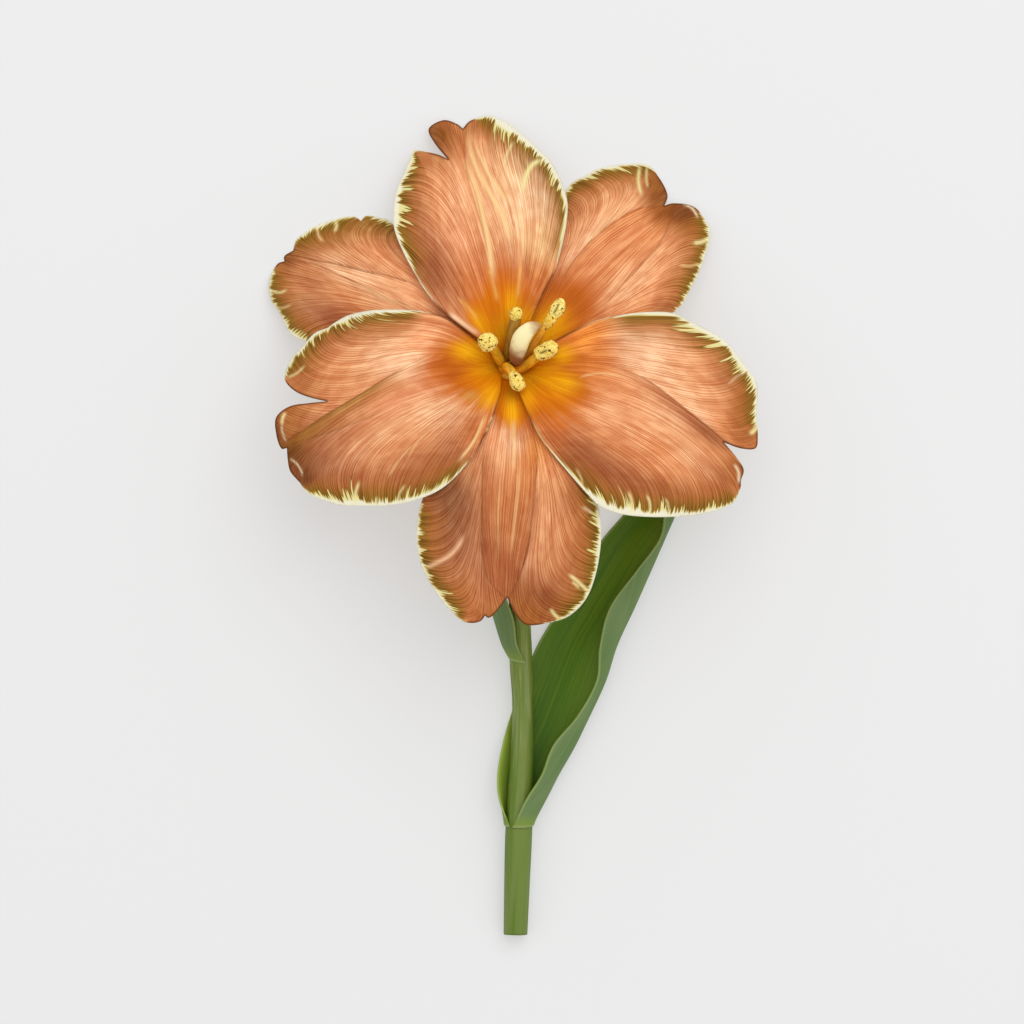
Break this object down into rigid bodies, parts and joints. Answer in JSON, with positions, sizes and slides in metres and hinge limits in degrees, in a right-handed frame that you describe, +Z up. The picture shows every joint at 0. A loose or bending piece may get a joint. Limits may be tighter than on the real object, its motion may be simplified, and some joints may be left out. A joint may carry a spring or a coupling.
{
  "type": "cut tulip flower",
  "caption": "Cut tulip in full bloom, lying on its back with the open flower facing up: ruffled salmon petals round yellow stamens and a pale pistil, on a green stem with long leaves.",
  "frame": {"origin": "middle of the plant's footprint, on the surface that it lies on", "axes": "+Z up, out of the open flower's face; +Y along the stem from its cut end towards the flower; +X across the flower, to the right with the stem's cut end nearest"},
  "size_m": [0.1478, 0.2478, 0.0551],
  "materials": {
    "petal": "soft satin petal skin, coppery salmon with fine darker veins, feathered cream margins, an olive-green line inside them and a yellow glow at the base",
    "leaf": "fleshy leaf with lengthwise veins, waxy grey-green bloom outside, deeper green inside and a pale margin",
    "stem": "smooth fleshy stem, light yellow-green with a faint grey bloom",
    "stamen": "pale yellow pollen-grained anthers on olive and orange filaments",
    "pistil": "smooth cream ovary with a brownish stigma"
  },
  "bodies": {
    "root": {"stem": "stem", "leaf_large": "leaf", "leaf_small": "leaf", "inner_petal_top": "petal", "inner_petal_right": "petal", "inner_petal_left": "petal", "outer_petal_right": "petal", "outer_petal_bottom": "petal", "outer_petal_left": "petal", "stamen_1": "stamen", "stamen_2": "stamen", "stamen_3": "stamen", "stamen_4": "stamen", "stamen_5": "stamen", "stamen_6": "stamen", "pistil": "pistil"}
  },
  "joints": []
}
